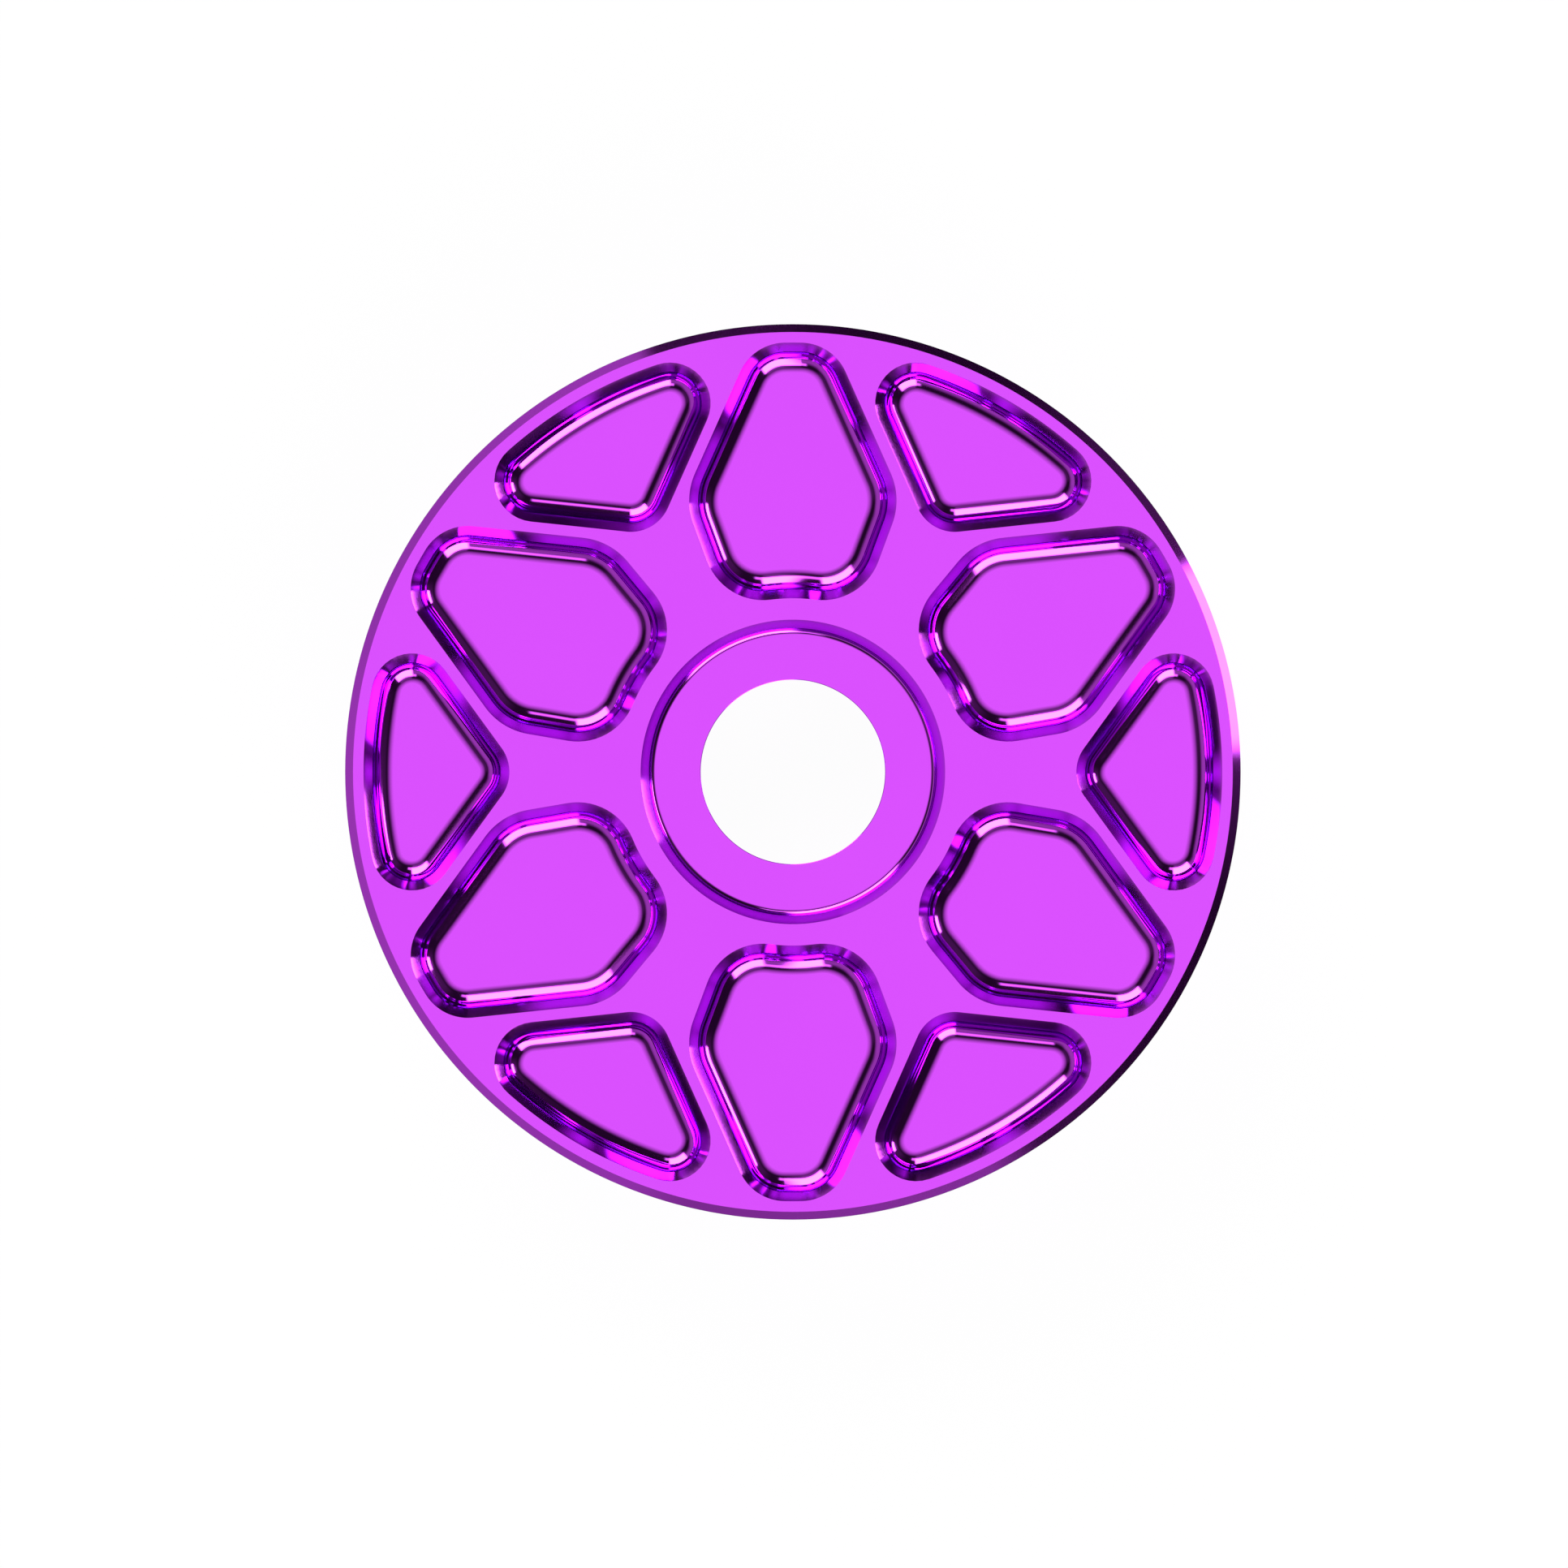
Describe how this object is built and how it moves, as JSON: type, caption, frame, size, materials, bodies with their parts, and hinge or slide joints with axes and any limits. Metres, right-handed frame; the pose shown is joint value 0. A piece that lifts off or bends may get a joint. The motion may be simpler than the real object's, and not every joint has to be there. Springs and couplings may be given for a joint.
{
  "type": "fidget spinner",
  "caption": "Round purple fidget spinner: a disc with petal and triangle pockets spins on a hidden thin ball bearing round an open ring hub held between two fingers.",
  "frame": {"origin": "middle of the disc, on the spin axis, halfway through its thickness", "axes": "+Z along the spin axis out of the front face, +X through the middle of a triangular pocket"},
  "size_m": [0.062, 0.062, 0.013],
  "materials": {
    "purple_anodised": "bright purple anodised aluminium, polished to a mirror",
    "bearing_steel": "ground and polished bearing steel",
    "cage_nylon": "natural moulded nylon"
  },
  "bodies": {
    "hub": {"hub_sleeve": "purple_anodised", "front_finger_ring": "purple_anodised", "rear_finger_ring": "purple_anodised", "front_spacer_washer": "bearing_steel", "rear_spacer_washer": "bearing_steel", "bearing_inner_race": "bearing_steel"},
    "rotor": {"disc_body": "purple_anodised", "bearing_lock_ring": "purple_anodised", "bearing_outer_race": "bearing_steel", "front_shield": "bearing_steel", "rear_shield": "bearing_steel", "front_shield_clip": "bearing_steel", "rear_shield_clip": "bearing_steel"},
    "cage": {"ball_cage": "cage_nylon"},
    "ball_01": {"ball_01": "bearing_steel"},
    "ball_02": {"ball_02": "bearing_steel"},
    "ball_03": {"ball_03": "bearing_steel"},
    "ball_04": {"ball_04": "bearing_steel"},
    "ball_05": {"ball_05": "bearing_steel"},
    "ball_06": {"ball_06": "bearing_steel"},
    "ball_07": {"ball_07": "bearing_steel"},
    "ball_08": {"ball_08": "bearing_steel"},
    "ball_09": {"ball_09": "bearing_steel"},
    "ball_10": {"ball_10": "bearing_steel"},
    "ball_11": {"ball_11": "bearing_steel"},
    "ball_12": {"ball_12": "bearing_steel"},
    "ball_13": {"ball_13": "bearing_steel"}
  },
  "joints": [
    {"name": "disc_spin", "type": "hinge", "parent": "hub", "child": "rotor", "pos_m": [0, 0, -0.0019], "axis": [0, 0, 1], "continuous": true},
    {"name": "cage_orbit", "type": "hinge", "parent": "hub", "child": "cage", "pos_m": [0, 0, -0.0019], "axis": [0, 0, 1], "continuous": true},
    {"name": "ball_01_roll", "type": "hinge", "parent": "cage", "child": "ball_01", "pos_m": [0.009, 0, -0.0019], "axis": [0, 0, 1], "continuous": true},
    {"name": "ball_02_roll", "type": "hinge", "parent": "cage", "child": "ball_02", "pos_m": [0.00797, 0.00418, -0.0019], "axis": [0, 0, 1], "continuous": true},
    {"name": "ball_03_roll", "type": "hinge", "parent": "cage", "child": "ball_03", "pos_m": [0.00511, 0.00741, -0.0019], "axis": [0, 0, 1], "continuous": true},
    {"name": "ball_04_roll", "type": "hinge", "parent": "cage", "child": "ball_04", "pos_m": [0.00108, 0.00893, -0.0019], "axis": [0, 0, 1], "continuous": true},
    {"name": "ball_05_roll", "type": "hinge", "parent": "cage", "child": "ball_05", "pos_m": [-0.00319, 0.00842, -0.0019], "axis": [0, 0, 1], "continuous": true},
    {"name": "ball_06_roll", "type": "hinge", "parent": "cage", "child": "ball_06", "pos_m": [-0.00674, 0.00597, -0.0019], "axis": [0, 0, 1], "continuous": true},
    {"name": "ball_07_roll", "type": "hinge", "parent": "cage", "child": "ball_07", "pos_m": [-0.00874, 0.00215, -0.0019], "axis": [0, 0, 1], "continuous": true},
    {"name": "ball_08_roll", "type": "hinge", "parent": "cage", "child": "ball_08", "pos_m": [-0.00874, -0.00215, -0.0019], "axis": [0, 0, 1], "continuous": true},
    {"name": "ball_09_roll", "type": "hinge", "parent": "cage", "child": "ball_09", "pos_m": [-0.00674, -0.00597, -0.0019], "axis": [0, 0, 1], "continuous": true},
    {"name": "ball_10_roll", "type": "hinge", "parent": "cage", "child": "ball_10", "pos_m": [-0.00319, -0.00842, -0.0019], "axis": [0, 0, 1], "continuous": true},
    {"name": "ball_11_roll", "type": "hinge", "parent": "cage", "child": "ball_11", "pos_m": [0.00108, -0.00893, -0.0019], "axis": [0, 0, 1], "continuous": true},
    {"name": "ball_12_roll", "type": "hinge", "parent": "cage", "child": "ball_12", "pos_m": [0.00511, -0.00741, -0.0019], "axis": [0, 0, 1], "continuous": true},
    {"name": "ball_13_roll", "type": "hinge", "parent": "cage", "child": "ball_13", "pos_m": [0.00797, -0.00418, -0.0019], "axis": [0, 0, 1], "continuous": true}
  ],
  "couplings": [
    {"joint": "cage_orbit", "follows": "disc_spin", "ratio": 0.55556},
    {"joint": "ball_01_roll", "follows": "disc_spin", "ratio": 4.4444},
    {"joint": "ball_02_roll", "follows": "disc_spin", "ratio": 4.4444},
    {"joint": "ball_03_roll", "follows": "disc_spin", "ratio": 4.4444},
    {"joint": "ball_04_roll", "follows": "disc_spin", "ratio": 4.4444},
    {"joint": "ball_05_roll", "follows": "disc_spin", "ratio": 4.4444},
    {"joint": "ball_06_roll", "follows": "disc_spin", "ratio": 4.4444},
    {"joint": "ball_07_roll", "follows": "disc_spin", "ratio": 4.4444},
    {"joint": "ball_08_roll", "follows": "disc_spin", "ratio": 4.4444},
    {"joint": "ball_09_roll", "follows": "disc_spin", "ratio": 4.4444},
    {"joint": "ball_10_roll", "follows": "disc_spin", "ratio": 4.4444},
    {"joint": "ball_11_roll", "follows": "disc_spin", "ratio": 4.4444},
    {"joint": "ball_12_roll", "follows": "disc_spin", "ratio": 4.4444},
    {"joint": "ball_13_roll", "follows": "disc_spin", "ratio": 4.4444}
  ]
}
